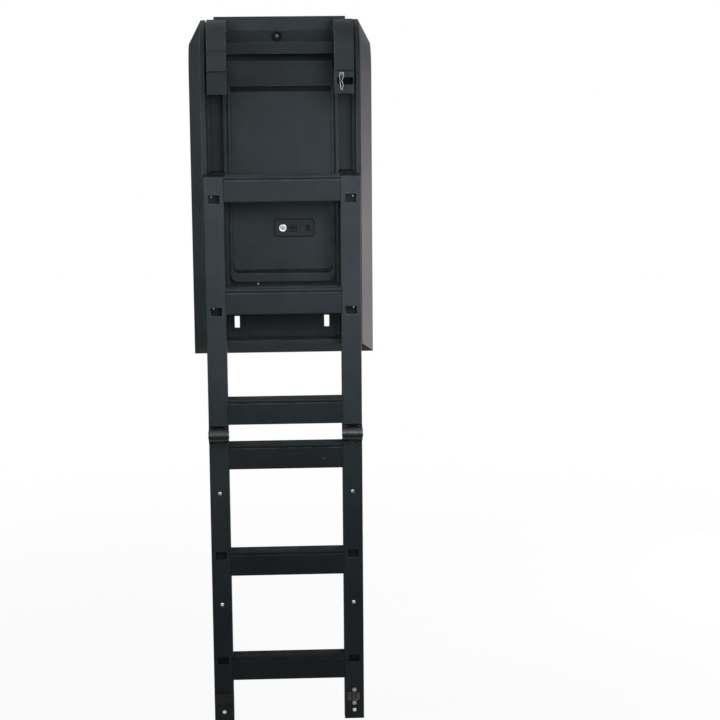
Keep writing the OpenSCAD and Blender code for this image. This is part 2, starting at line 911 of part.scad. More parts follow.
// Wire loop on a plate, which enters the slot of the right-hand block when the ladder is folded
module staple() {
    loop_r = (staple_w - staple_wire) / 2;
    leg = staple_out - loop_r - staple_wire / 2;
    color(bright) translate([rail_x - staple_in, -rail_front, staple_z]) {
        translate([-staple_plate_w / 2, -staple_plate_t, -staple_plate_h / 2])
            cube([staple_plate_w, staple_plate_t, staple_plate_h]);
        for (s = [-1, 1])
            translate([s * loop_r, 0, 0]) rotate([90, 0, 0]) cylinder(d = staple_wire, h = leg);
        translate([0, -leg, 0]) rotate([0, 0, 180])
            rotate_extrude(angle = 180) translate([loop_r, 0]) circle(d = staple_wire);
    }
}

module buffer_pad() {
    z = 2 * hinge_z + travel - (block_low_z + block_top_z) / 2;
    color(rubber) on_side(-1) outward(rail_front, rail_front + pad_t)
        translate([rail_x, z]) round_rect(rail_w - 2 * rail_r, pad_h, rail_r);
}

module wire_between(a, b, d) {
    run = b - a;
    length = norm(run);
    translate(a) rotate([0, acos(run[2] / length), atan2(run[1], run[0])]) cylinder(d = d, h = length);
    translate(b) sphere(d = d + 0.2);
}

// Spring clip that hangs by its eye: one straight leg and one with a waist
module r_clip() {
    y = -block_depth - clip_gap - clip_wire / 2;
    eye = [clip_x, y, slot_z + 16];
    top = eye[2] - clip_eye_r * 0.8;
    low = top - clip_len;
    straight = [[clip_x - 3.9, y, top], [clip_x - 1.8, y, low]];
    waisted = [
        [clip_x + 3.9, y, top],
        [clip_x - 0.2, y, top - clip_len * 0.3],
        [clip_x + 3.4, y, top - clip_len * 0.55],
        [clip_x + 1.4, y, top - clip_len * 0.75],
        [clip_x + 3.2, y, top - clip_len * 0.9]
    ];
    color(bright) {
        translate(eye) rotate([90, 0, 0]) rotate_extrude() translate([clip_eye_r, 0]) circle(d = clip_wire);
        for (leg = [straight, waisted], n = [1:len(leg) - 1])
            wire_between(leg[n - 1], leg[n], clip_wire);
    }
}

module clip_peg() {
    z = slot_z + 16 + clip_eye_r - clip_wire / 2 - clip_gap - peg_d / 2;
    reach = clip_wire + 2 * clip_gap;
    color(bright) translate([clip_x, -block_depth, z]) rotate([90, 0, 0]) {
        cylinder(d = peg_d, h = reach);
        translate([0, 0, reach]) cylinder(d = 1.8 * peg_d, h = peg_d * 0.3);
    }
}

back_panel();
cheek_left();
cheek_right();
bottom_skirt();
hatch_frame();
hatch_panel();
latch_plate();
lock_barrel();
latch_button();
header_panel();
cross_bar();
top_rail();
hex_bolt();
socket_block_left();
socket_block_right();
roof_arm_left();
roof_arm_right();
guide_channel_left();
guide_channel_right();
guide_stops();
r_clip();
clip_peg();
upper_rail_left();
upper_rail_right();
rung_1();
rung_2();
rung_3();
rail_top_caps();
slide_shoes_left();
slide_shoes_right();
hinge_fork_left();
hinge_fork_right();
hinge_pin_left();
hinge_pin_right();
lower_rail_left();
lower_rail_right();
rung_4();
rung_5();
rung_6();
hinge_knuckle_left();
hinge_knuckle_right();
foot_caps();
staple();
buffer_pad();
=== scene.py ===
import json
import math

import bmesh
import bpy
import numpy as np
from mathutils import Matrix, Vector


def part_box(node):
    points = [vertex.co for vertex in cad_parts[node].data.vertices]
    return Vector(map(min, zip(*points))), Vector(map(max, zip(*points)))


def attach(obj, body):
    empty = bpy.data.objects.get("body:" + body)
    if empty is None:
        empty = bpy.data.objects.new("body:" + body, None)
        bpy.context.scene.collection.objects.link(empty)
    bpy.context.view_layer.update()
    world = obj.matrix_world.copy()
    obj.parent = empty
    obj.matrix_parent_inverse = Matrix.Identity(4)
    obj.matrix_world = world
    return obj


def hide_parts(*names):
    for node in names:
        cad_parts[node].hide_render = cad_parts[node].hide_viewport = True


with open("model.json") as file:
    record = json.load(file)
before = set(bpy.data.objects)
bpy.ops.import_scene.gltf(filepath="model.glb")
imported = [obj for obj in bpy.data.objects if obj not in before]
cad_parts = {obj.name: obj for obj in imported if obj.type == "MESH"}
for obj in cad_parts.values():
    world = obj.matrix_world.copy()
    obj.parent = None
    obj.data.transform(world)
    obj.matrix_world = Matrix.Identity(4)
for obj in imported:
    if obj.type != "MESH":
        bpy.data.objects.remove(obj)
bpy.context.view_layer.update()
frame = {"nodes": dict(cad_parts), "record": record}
scene = bpy.context.scene
mm = 0.001      # in metres


# Camera: the photograph's viewpoint, a long lens a little above the roof, looking down

view = {
    "place": (-0.0436, -5.2191, 0.8644),    # metres
    "yaw": 0.0469,      # radians, to the right of straight in
    "pitch": 0.1926,    # radians, down
    "roll": -0.0071,    # radians
    "lens": 100.0,      # mm
    "sensor": 36.0,     # mm
    "reach": 100.0,     # metres, the furthest that is seen
}


def makeCamera():
    data = bpy.data.cameras.new("camera")
    data.lens, data.sensor_width, data.clip_end = view["lens"], view["sensor"], view["reach"]
    camera = bpy.data.objects.new("camera", data)
    scene.collection.objects.link(camera)
    yaw, pitch, roll = view["yaw"], view["pitch"], view["roll"]
    look = np.array([math.sin(yaw) * math.cos(pitch), math.cos(yaw) * math.cos(pitch), -math.sin(pitch)])
    level = np.array([math.cos(yaw), -math.sin(yaw), 0.0])
    up = np.cross(level, look)
    grid = np.eye(4)    # columns: the camera's right, up and back, then its place
    grid[:3, 0] = math.cos(roll) * level + math.sin(roll) * up
    grid[:3, 1] = math.cos(roll) * up - math.sin(roll) * level
    grid[:3, 2] = -look
    grid[:3, 3] = view["place"]
    camera.matrix_world = Matrix(grid.tolist())
    scene.camera = camera


makeCamera()
print("camera ready")


# Shader maths

class Socket:
    # One output of a node; arithmetic on it adds the Math node that does the sum
    def __init__(self, tree, out):
        self.tree, self.out = tree, out

    def sum(self, kind, first, second, clamp=False):
        node = self.tree.nodes.new("ShaderNodeMath")
        node.operation, node.use_clamp = kind, clamp
        for place, value in enumerate((first, second)):
            if isinstance(value, Socket):
                self.tree.links.new(value.out, node.inputs[place])
            else:
                node.inputs[place].default_value = value
        return Socket(self.tree, node.outputs[0])

    def __add__(self, other):
        return self.sum("ADD", self, other)

    def __radd__(self, other):
        return self.sum("ADD", other, self)

    def __sub__(self, other):
        return self.sum("SUBTRACT", self, other)

    def __rsub__(self, other):
        return self.sum("SUBTRACT", other, self)

    def __mul__(self, other):
        return self.sum("MULTIPLY", self, other)

    def __rmul__(self, other):
        return self.sum("MULTIPLY", other, self)

    def clamped(self):      # held between 0 and 1
        return self.sum("ADD", self, 0.0, clamp=True)

    def atLeast(self, other):
        return self.sum("MAXIMUM", self, other)


class Nodes:
    # A node tree being filled, for a material or the world
    def __init__(self, tree):
        self.tree = tree
        tree.nodes.clear()

    def node(self, kind, settings=None, out=0, **values):
        # A value's name is its socket's, with _ for a space, or "in" and the socket's number
        made = self.tree.nodes.new("ShaderNode" + kind)
        for label, value in (settings or {}).items():
            setattr(made, label, value)
        for label, value in values.items():
            numbered = label[:2] == "in" and label[2:].isdigit()
            place = int(label[2:]) if numbered else label.replace("_", " ")
            if isinstance(value, Socket):
                self.tree.links.new(value.out, made.inputs[place])
            else:
                made.inputs[place].default_value = value
        return Socket(self.tree, made.outputs[out] if made.outputs else None)

    def ramp(self, value, low, high):   # 0 at low, 1 at high, smooth between
        smooth = {"interpolation_type": "SMOOTHSTEP"}
        return self.node("MapRange", smooth, Value=value, From_Min=low, From_Max=high)

    def noise(self, where, scale, detail=3.0, rough=0.55):
        return self.node("TexNoise", out="Fac", Vector=where, Scale=scale, Detail=detail, Roughness=rough)

    def mixed(self, factor, first, second):     # between two colours
        return self.node("Mix", {"data_type": "RGBA"}, out=2, in0=factor, in6=first, in7=second)


edgeFinder = {"samples": 6, "turn": (0.01, 0.14)}     # turn: where an edge begins, and where it is full


class Finish(Nodes):
    # A material in the making: its tree, and one Principled shader that holds the uniform values
    def __init__(self, name, **fixed):
        self.material = bpy.data.materials.new(name)
        self.material.use_nodes = True
        super().__init__(self.material.node_tree)
        self.surface = self.node("BsdfPrincipled")
        self.shader = self.surface.out.node
        self.node("OutputMaterial", Surface=self.surface)
        for label, value in fixed.items():
            self.shader.inputs[label.replace("_", " ")].default_value = value
        self.here = self.node("TexCoord", out="Object")

    def feed(self, label, value):
        self.tree.links.new(value.out, self.shader.inputs[label])

    def stretched(self, scale):     # object coordinates, scaled apart along the three axes
        return self.node("Mapping", Vector=self.here, Scale=scale)

    def rounded(self, radius):
        # The normal that rounded edges would have, and a mask of them from 1 less the cosine of its turn
        soft = self.node("Bevel", {"samples": edgeFinder["samples"]}, Radius=radius)
        flat = self.node("NewGeometry", out="Normal")
        turn = self.node("VectorMath", {"operation": "DOT_PRODUCT"}, out="Value", in0=soft, in1=flat)
        return soft, self.ramp(1.0 - turn, *edgeFinder["turn"])

    def mottled(self, cloud, reach, grey, shares, tint):    # from one share of the grey to another
        dark, pale = shares
        return self.mixed(self.ramp(cloud, *reach), shade(grey * dark, tint), shade(grey * pale, tint))

    def bump(self, height, depth, strength, soft):
        self.feed("Normal", self.node("Bump", Strength=strength, Distance=depth, Height=height, Normal=soft))


def shade(value, tint=(1.0, 1.0, 1.0)):
    return (value * tint[0], value * tint[1], value * tint[2], 1.0)


# In the finishes below a noise is its scale, detail and roughness, and swings round 0.5. A reach is the
# values between which a mark comes up. Mottle and pale values are multiples of the grey, a share is how
# strongly a mark shows, and roughCloud and its like are how far a noise or mark changes the roughness.

# Coatings: fine orange-peel powder coat, faintly cloudy, its edges paler: painted highlight, partly wear

coats = {       # grain is the noise's scale, depth the bumps' height in metres
    "housing_coat": {"grey": 0.033, "tint": (0.88, 1.0, 1.05), "rough": 0.47, "grain": 620.0, "depth": 0.0002},
    "hatch_coat": {"grey": 0.033, "tint": (0.87, 1.0, 1.05), "rough": 0.50, "grain": 560.0, "depth": 0.00024},
    "ladder_coat": {"grey": 0.046, "tint": (0.86, 1.0, 1.08), "rough": 0.43, "grain": 760.0, "depth": 0.00016},
    # The next four are copies of the coats for single nodes, the arm one lighter and the other three darker:
    # painted light and painted shade
    "arm_painted_light_coat": {"grey": 0.039, "tint": (0.96, 1.0, 1.05), "rough": 0.45, "grain": 620.0, "depth": 0.00020},
    "lower_rail_painted_shade_coat": {"grey": 0.041, "tint": (0.86, 1.0, 1.08), "rough": 0.43, "grain": 760.0, "depth": 0.00016},
    "rung_painted_shade_coat": {"grey": 0.030, "tint": (0.86, 1.0, 1.06), "rough": 0.46, "grain": 760.0, "depth": 0.00016},
    "painted_shadow_coat": {"grey": 0.026, "tint": (0.88, 1.0, 1.08), "rough": 0.49, "grain": 620.0, "depth": 0.00020},
}
coatShared = {
    "specular": 0.08, "relief": 0.7,
    "peel": (2.0, 0.5),         # without a scale, which is the coat's grain
    "cloud": (7.0, 4.0, 0.6), "cloudReach": (0.3, 0.75), "mottle": (0.88, 1.14),
    "speck": (1.0, 0.4), "speckGrain": 0.45, "speckReach": (0.62, 0.78),    # speckGrain: multiple of the grain
    "speckPale": 2.0, "speckShare": 0.25, "speckHeight": 0.3,
    "edgeRadius": 0.0026, "edgeHighlightPale": 4.5, "edgeShare": 0.8,
    "edgePatchNoise": (28.0, 4.0), "edgePatchNoiseReach": (0.25, 0.7),
    "roughCloud": 0.14, "roughPeel": 0.10, "roughEdgePatch": 0.10,
}


def powderCoat(name, grey, tint, rough, grain, depth):
    shared = coatShared
    coat = Finish(name, Specular_IOR_Level=shared["specular"])
    peel = coat.noise(coat.here, grain, *shared["peel"])
    cloud = coat.noise(coat.here, *shared["cloud"])
    grit = coat.noise(coat.here, grain * shared["speckGrain"], *shared["speck"])
    speck = coat.ramp(grit, *shared["speckReach"])
    soft, edge = coat.rounded(shared["edgeRadius"])
    base = coat.mottled(cloud, shared["cloudReach"], grey, shared["mottle"], tint)
    base = coat.mixed(speck * shared["speckShare"], base, shade(grey * shared["speckPale"], tint))
    # Paler edges in patches: mostly a painted highlight, partly rubbed wear
    wornAndHighlit = edge * coat.ramp(coat.noise(coat.here, *shared["edgePatchNoise"]), *shared["edgePatchNoiseReach"])
    edgeHighlightColour = shade(grey * shared["edgeHighlightPale"], tint)
    coat.feed("Base Color", coat.mixed(wornAndHighlit * shared["edgeShare"], base, edgeHighlightColour))
    uneven = rough + (cloud - 0.5) * shared["roughCloud"] + (peel - 0.5) * shared["roughPeel"]
    coat.feed("Roughness", (uneven - wornAndHighlit * shared["roughEdgePatch"]).clamped())
    coat.bump(peel + speck * shared["speckHeight"], depth, shared["relief"], soft)
    return coat.material


# Hinge barrels: bead-blasted steel under a thin gloss black, turned rings showing through; painted edge
# highlight

hinge = {
    "grey": 0.011, "tint": (0.85, 1.0, 1.08), "specular": 0.45, "rough": 0.27,
    "stretch": (420.0, 4.0, 4.0), "rings": (1.0, 2.0), "ringDepth": 0.00012, "relief": 0.5,
    "cloud": (22.0, 3.0), "cloudReach": (0.35, 0.7), "mottle": (0.8, 1.4),
    "edgeRadius": 0.0012, "edgeHighlightGrey": 0.055, "edgeShare": 0.6,
    "roughRings": 0.22, "roughCloud": 0.10,
}


def hingeMetal():
    metal = Finish("hinge_metal", Specular_IOR_Level=hinge["specular"])
    turned = metal.noise(metal.stretched(hinge["stretch"]), *hinge["rings"])
    cloud = metal.noise(metal.here, *hinge["cloud"])
    soft, edge = metal.rounded(hinge["edgeRadius"])
    base = metal.mottled(cloud, hinge["cloudReach"], hinge["grey"], hinge["mottle"], hinge["tint"])
    # Painted highlight: the edges are made paler
    edgeHighlightColour = shade(hinge["edgeHighlightGrey"], hinge["tint"])
    metal.feed("Base Color", metal.mixed(edge * hinge["edgeShare"], base, edgeHighlightColour))
    uneven = hinge["rough"] + (turned - 0.5) * hinge["roughRings"] + (cloud - 0.5) * hinge["roughCloud"]
    metal.feed("Roughness", uneven.clamped())
    metal.bump(turned, hinge["ringDepth"], hinge["relief"], soft)
    return metal.material


# Bare and plated metals: pale, duller and tinted by the warm value where worn; painted highlight of rim on
# edges

metals = {      # grain stretches the noise along the three axes
    "plated_wire": {"pale": 0.66, "dull": 0.26, "rimHighlight": 0.85, "warm": (1.0, 0.99, 0.96), "rough": 0.20,
                    "grain": (900.0, 900.0, 900.0)},
    # The clip's wire: the plated wire made darker for the clip alone, painted shade
    "clip_wire": {"pale": 0.26, "dull": 0.10, "rimHighlight": 0.30, "warm": (1.0, 0.99, 0.96), "rough": 0.17,
                  "grain": (900.0, 900.0, 900.0)},
    "pin_steel": {"pale": 0.34, "dull": 0.20, "rimHighlight": 0.55, "warm": (1.0, 0.98, 0.98), "rough": 0.30,
                  "grain": (60.0, 700.0, 700.0)},
    "lock_metal": {"pale": 0.72, "dull": 0.55, "rimHighlight": 0.80, "warm": (1.0, 0.99, 0.98), "rough": 0.24,
                   "grain": (1400.0, 1400.0, 1400.0)},
    "dark_steel": {"pale": 0.06, "dull": 0.025, "rimHighlight": 0.30, "warm": (0.7, 1.0, 1.9), "rough": 0.22,
                   "grain": (700.0, 60.0, 700.0)},
}
metalShared = {
    "fine": (1.0, 2.0), "depth": 0.00005, "relief": 0.45, "wear": (90.0, 3.0), "wearReach": (0.4, 0.75),
    "edgeRadius": 0.0006, "edgeShare": 0.7, "roughWorn": 0.14, "roughFine": 0.10,
}


def brightMetal(name, pale, dull, rimHighlight, warm, rough, grain):
    shared = metalShared
    metal = Finish(name, Metallic=1.0)
    fine = metal.noise(metal.stretched(grain), *shared["fine"])
    worn = metal.noise(metal.here, *shared["wear"])
    soft, edge = metal.rounded(shared["edgeRadius"])
    base = metal.mixed(metal.ramp(worn, *shared["wearReach"]), shade(pale), shade(dull, warm))
    # Painted highlight: the edges take the rim grey
    metal.feed("Base Color", metal.mixed(edge * shared["edgeShare"], base, shade(rimHighlight)))
    uneven = rough + worn * shared["roughWorn"] + (fine - 0.5) * shared["roughFine"]
    metal.feed("Roughness", uneven.clamped())
    metal.bump(fine, shared["depth"], shared["relief"], soft)
    return metal.material


# Mouldings: latch, shoes and caps, buffer pad; paler edges are painted highlight

mouldings = {
    "latch_plastic": {"grey": 0.022, "tint": (0.9, 1.0, 1.14), "rough": 0.36, "grain": 900.0, "depth": 0.0001},
    "nylon": {"grey": 0.007, "tint": (1.0, 1.0, 1.0), "rough": 0.55, "grain": 900.0, "depth": 0.00015},
    "pad_rubber": {"grey": 0.046, "tint": (0.96, 1.02, 1.0), "rough": 0.60, "grain": 1300.0, "depth": 0.0002},
}
mouldShared = {
    "specular": 0.1, "relief": 0.6, "sparkDetail": 2.0,
    "cloud": (30.0, 3.0), "cloudReach": (0.35, 0.7), "mottle": (0.88, 1.14),
    "edgeRadius": 0.0009, "edgeHighlightPale": 2.0, "edgeShare": 0.6, "roughSpark": 0.16, "roughCloud": 0.08,
}


def moulded(name, grey, tint, rough, grain, depth):
    shared = mouldShared
    plastic = Finish(name, Specular_IOR_Level=shared["specular"])
    spark = plastic.noise(plastic.here, grain, shared["sparkDetail"])
    cloud = plastic.noise(plastic.here, *shared["cloud"])
    soft, edge = plastic.rounded(shared["edgeRadius"])
    base = plastic.mottled(cloud, shared["cloudReach"], grey, shared["mottle"], tint)
    # Painted highlight: the edges are made paler
    edgeHighlightColour = shade(grey * shared["edgeHighlightPale"], tint)
    plastic.feed("Base Color", plastic.mixed(edge * shared["edgeShare"], base, edgeHighlightColour))
    uneven = rough + (spark - 0.5) * shared["roughSpark"] + (cloud - 0.5) * shared["roughCloud"]
    plastic.feed("Roughness", uneven.clamped())
    plastic.bump(spark, depth, shared["relief"], soft)
    return plastic.material


materials = {name: powderCoat(name, **look) for name, look in coats.items()}
materials.update({name: brightMetal(name, **look) for name, look in metals.items()})
materials.update({name: moulded(name, **look) for name, look in mouldings.items()})
materials["hinge_metal"] = hingeMetal()

# Painted light and shade: the left arm takes a lighter copy of its coat, the top rail the paler ladder coat,
# and the rungs, lower rails, header, cross bar, left guide and left block darker copies. The clip peg's dark
# steel is painted shade that makes the clip's eye look empty
paintedAndOwnFinish = {       # nodes whose finish differs from their slot's
    "rung_painted_shade_coat": ["rung_1", "rung_2", "rung_3", "rung_5", "rung_6"],
    "painted_shadow_coat": ["header_panel", "cross_bar", "guide_channel_left", "socket_block_left", "rung_4"],
    "ladder_coat": ["top_rail"],
    "arm_painted_light_coat": ["roof_arm_left"],
    "lower_rail_painted_shade_coat": ["lower_rail_left", "lower_rail_right"],
    "dark_steel": ["staple", "clip_peg"],
}
finishOf = {part["node"]: part["material_slot"] for part in frame["record"]["subparts"]}
finishOf.update({node: finish for finish, nodes in paintedAndOwnFinish.items() for node in nodes})
for name, piece in frame["nodes"].items():
    finish = materials[finishOf[name]]
    for slot in piece.material_slots:
        slot.material = finish
    if not piece.material_slots:
        piece.data.materials.append(finish)
print("materials on", len(finishOf), "nodes")


# Surfaces: each piece is a grid of points, worked out as one array, whose columns run round it

smoothUpTo = 38.0   # degrees that an edge turns; past them it is drawn sharp


def gridFaces(rows, columns, closeRows=False):
    # Quads between neighbours of the grid; the last row is joined to the first, or both are filled
    r = np.arange(rows if closeRows else rows - 1)[:, None]
    c = np.arange(columns)[None, :]
    r2, c2 = (r + 1) % rows, (c + 1) % columns
    quads = np.stack([r * columns + c, r * columns + c2, r2 * columns + c2, r2 * columns + c], -1)
    faces = quads.reshape(-1, 4).tolist()
    if not closeRows:
        faces += [list(range(columns)), list(range((rows - 1) * columns, rows * columns))]
    return faces


def addPiece(name, grids, body, slotName, replaced=(), closeRows=False, finish=None, smoothed=smoothUpTo):
    # grids is (copies, rows, columns, 3) in metres
    grids = np.asarray(grids, float)
    copies, rows, columns = grids.shape[:3]
    faces = gridFaces(rows, columns, closeRows)
    every = [[place + copy * rows * columns for place in face] for copy in range(copies) for face in faces]
    mesh = bpy.data.meshes.new(name)
    mesh.from_pydata(grids.reshape(-1, 3).tolist(), [], every)
    shape = bmesh.new()
    shape.from_mesh(mesh)
    bmesh.ops.recalc_face_normals(shape, faces=shape.faces)
    shape.to_mesh(mesh)
    shape.free()
    mesh.shade_smooth()
    mesh.set_sharp_from_angle(angle=math.radians(smoothed))
    mesh.materials.append(materials[finish or slotName])
    piece = bpy.data.objects.new(name, mesh)
    scene.collection.objects.link(piece)
    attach(piece, body)
    if replaced:
        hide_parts(*replaced)


def outwardTurned(profile, centres, around):
    # Profile (radius, stand-out) turned about lines that run to the front through the centres (x, depth, z)
    profile, centres = np.asarray(profile, float) * mm, np.asarray(centres, float) * mm
    angle = np.linspace(0.0, 2.0 * np.pi, around, endpoint=False)
    radius, out = profile[None, :, 0, None], profile[None, :, 1, None]
    x = centres[:, None, None, 0] + radius * np.cos(angle)
    y = -centres[:, None, None, 1] - out + 0.0 * angle
    z = centres[:, None, None, 2] + radius * np.sin(angle)
    return np.stack(np.broadcast_arrays(x, y, z), -1)


def pillow(centre, width, height, corner, layers, around=64, least=0.15):
    # Rounded rectangle carried outwards through layers of (inset, stand-out): each angle points to a corner's
    # centre plus that corner's radius, which shrinks with the inset and is never less than the least
    inset, out = np.asarray(layers, float).T[:, :, None]
    angle = np.linspace(0.0, 2.0 * np.pi, around, endpoint=False) + np.pi / around
    radius = np.maximum(corner - inset, least)
    x = np.sign(np.cos(angle)) * (width / 2 - inset - radius) + radius * np.cos(angle)
    z = np.sign(np.sin(angle)) * (height / 2 - inset - radius) + radius * np.sin(angle)
    y = -centre[1] - out + 0.0 * x
    return np.stack([centre[0] + x, y, centre[2] + z], -1)[None] * mm


def middle(node):   # centre across, depth of the foot and centre up, of a node, in mm
    low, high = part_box(node)
    return (low.x + high.x) / 2 / mm, -high.y / mm, (low.z + high.z) / 2 / mm


# Lock: a plated ring with a sunk rotor and its keyway

lock = {
    "foot": 16.0, "radius": 9.8, "ringAround": 64,
    "rotor": [(5.5, 4.4), (5.5, 5.0), (5.1, 5.35), (2.6, 5.4), (0.05, 5.4)], "rotorAround": 48,
    "keyway": (2.2, 6.2, 1.05),     # width, height, corner
    "keyLayers": [(0, 4.9), (0, 5.5), (0.15, 5.55), (0.9, 5.55)], "keyDrop": 0.4, "keyAround": 32,
}


def makeLock():
    x, _, z = middle("lock_barrel")
    foot, r = lock["foot"], lock["radius"]
    profile = [(r, 0), (r, 5.1), (r - 0.5, 5.8), (r - 1.1, 6.0), (r - 2.7, 6.0), (r - 3.3, 5.6),
               (r - 3.5, 4.6), (5.9, 4.4), (3.0, 4.3), (0.05, 4.3)]
    ring = outwardTurned(profile, [(x, foot, z)], lock["ringAround"])
    addPiece("lock_ring", ring, "housing", "lock_metal", ["lock_barrel"])
    rotor = outwardTurned(lock["rotor"], [(x, foot, z)], lock["rotorAround"])
    addPiece("lock_rotor", rotor, "housing", "pin_steel")
    keyway = pillow((x, foot, z - lock["keyDrop"]), *lock["keyway"], lock["keyLayers"], lock["keyAround"])
    addPiece("lock_keyway", keyway, "housing", "nylon")


# Latch: dark rings round the plate and in the gap round the dished push button, painted shadow, a thumb slide,
# and a finger pocket whose darkness is painted shade of its hollow

latch = {
    "across": 31.0, "depth": 16.0, "up": 204.0,
    "plate": (100.0, 42.0, 6.0), "gasket": 3.0, "gasketAround": 96,     # plate: width, height, corner
}
button = {"across": 27.0, "width": 19.4, "height": 17.4, "gap": 1.4}
latchPieces = {     # slot, centre across, (width, height, corner), layers of (inset, stand-out), node replaced
    "push_button": ("latch_plastic", button["across"], (button["width"], button["height"], 2.4),
                    [(0, 0), (0, 2.7), (0.3, 3.2), (0.9, 3.5), (2.2, 3.5), (3.6, 3.1), (6.0, 2.9), (8.2, 2.9)],
                    ["latch_button"]),
    "button_painted_shadow_ring": ("nylon", button["across"],
                   (button["width"] + 2 * button["gap"], button["height"] + 2 * button["gap"], 3.4),
                   [(0, 2.6), (0, 3.1), (0.2, 3.25), (3.0, 3.25)], []),
    "thumb_slide": ("latch_plastic", 53.2, (16.2, 16.4, 1.8),
                    [(0, 1.4), (0, 2.0), (0.4, 2.4), (1.2, 2.6), (2.6, 2.2), (7.4, 2.0)], []),
    "finger_pocket_painted_shade": ("nylon", 66.2, (9.0, 16.9, 1.2),
                      [(0, 0), (0, 1.8), (0.3, 2.0), (0.9, 1.9), (1.6, 1.2)], []),
}


def makeLatch():
    wide, depth, up = latch["gasket"], latch["depth"], latch["up"]
    # The dark ring round the plate is painted shadow
    section = [(0.2, 0.0), (0.2, 0.8), (0.0, 1.0), (-wide + 0.5, 1.0), (-wide, 0.6), (-wide, 0.0)]
    gasket = pillow((latch["across"], depth, up), *latch["plate"], section, latch["gasketAround"])
    addPiece("latch_painted_shadow_ring", gasket, "housing", "nylon", closeRows=True)
    for name, (slotName, across, size, layers, replaced) in latchPieces.items():
        addPiece(name, pillow((across, depth, up), *size, layers), "housing", slotName, replaced)


# Roof bolt: hexagonal cup, corners up and down, with a stud in its middle

bolt = {
    "flats": 12.0, "around": 72,        # flats: from the middle to a side
    "cup": [(1.0, 0, 1), (1.0, 6.6, 1), (0.93, 7.9, 1), (0.84, 8.0, 1), (0.78, 7.2, 1), (0.74, 2.6, 0.8),
            (0.50, 2.2, 0), (0.01, 2.2, 0)],    # share of the flats, stand-out, circle 0 to hexagon 1
    "stud": [(4.4, 1.2), (4.4, 5.4), (3.7, 6.1), (1.4, 6.2), (1.1, 5.6), (0.05, 5.6)], "studAround": 32,
}


def makeRoofBolt():
    # A ring's radius is its share of the flats, times the way to the hexagon's side, which is 1 at the side's
    # middle and grows as 1 over the cosine of the angle from there
    x, foot, z = middle("hex_bolt")
    share, out, sided = np.array(bolt["cup"], float).T[:, :, None]
    angle = np.linspace(0.0, 2.0 * np.pi, bolt["around"], endpoint=False)
    hexagon = 1.0 / np.cos((angle + np.pi / 6) % (np.pi / 3) - np.pi / 6)
    radius = bolt["flats"] * share * (1 + sided * (hexagon - 1))
    cup = np.stack([x + radius * np.cos(angle), -foot - out + 0 * radius, z + radius * np.sin(angle)], -1)
    addPiece("roof_bolt", cup[None] * mm, "housing", "nylon", ["hex_bolt"])
    stud = outwardTurned(bolt["stud"], [(x, foot, z)], bolt["studAround"])
    addPiece("bolt_stud", stud, "housing", "pin_steel", finish="dark_steel")


# Strips: dark strips above and below the hatch, at the foot of the arms and over the hinges, painted shadow in
# the gaps there, weld beads on the arms, and the plates that close the lower rails' windows from inside

strips = {      # body, slot, (width, height, corner), layers of (inset, stand-out), places (across, depth, up)
    # The header, hatch, arm and hinge strips are dark nylon standing for shadow: painted shadow
    "header_painted_shadow_strip": ("housing", "nylon", (268.0, 11.0, 2.0), [(0, 0), (0, 6.6), (0.6, 7.4), (2.0, 7.8)],
                    [(0.0, 6.0, 566.9)]),
    "hatch_painted_shadow_strip": ("housing", "nylon", (236.0, 11.0, 3.0), [(0, 0), (0, 10.5), (0.5, 11.3), (2.2, 11.6)],
                   [(0.0, 3.0, 89.5)]),
    "arm_painted_shadow_lines": ("housing", "nylon", (49.6, 2.4, 0.8), [(0, 0), (0, 2.0), (0.3, 2.3), (0.8, 2.4)],
                  [(side * 162.0, 98.0, 613.7) for side in (-1, 1)]),
    "arm_beads": ("housing", "housing_coat", (49.0, 2.2, 0.9), [(0, 0), (0, 1.9), (0.3, 2.3), (0.9, 2.5)],
                  [(side * 162.0, 94.0, 666.0) for side in (-1, 1)]),
    "hinge_painted_shadow_strips": ("upper_ladder", "nylon", (51.2, 5.2, 1.2), [(0, 0), (0, 14.4), (0.4, 15.0), (1.2, 15.2)],
                    [(side * 175.0, 91.6, -305.4) for side in (-1, 1)]),
    "window_plates": ("lower_ladder", "ladder_coat", (47.6, 34.0, 3.0),
                      [(0, 0), (0, 1.6), (0.4, 2.0), (3.0, 2.0)],
                      [(side * 175.0, 90.0, up) for side in (-1, 1) for up in (-657.0, -948.0)]),
}


def makeStrips():
    for name, (body, slotName, size, layers, places) in strips.items():
        addPiece(name, np.concatenate([pillow(place, *size, layers) for place in places]), body, slotName)


# Fasteners: domed and recessed heads, all of one kind in one piece

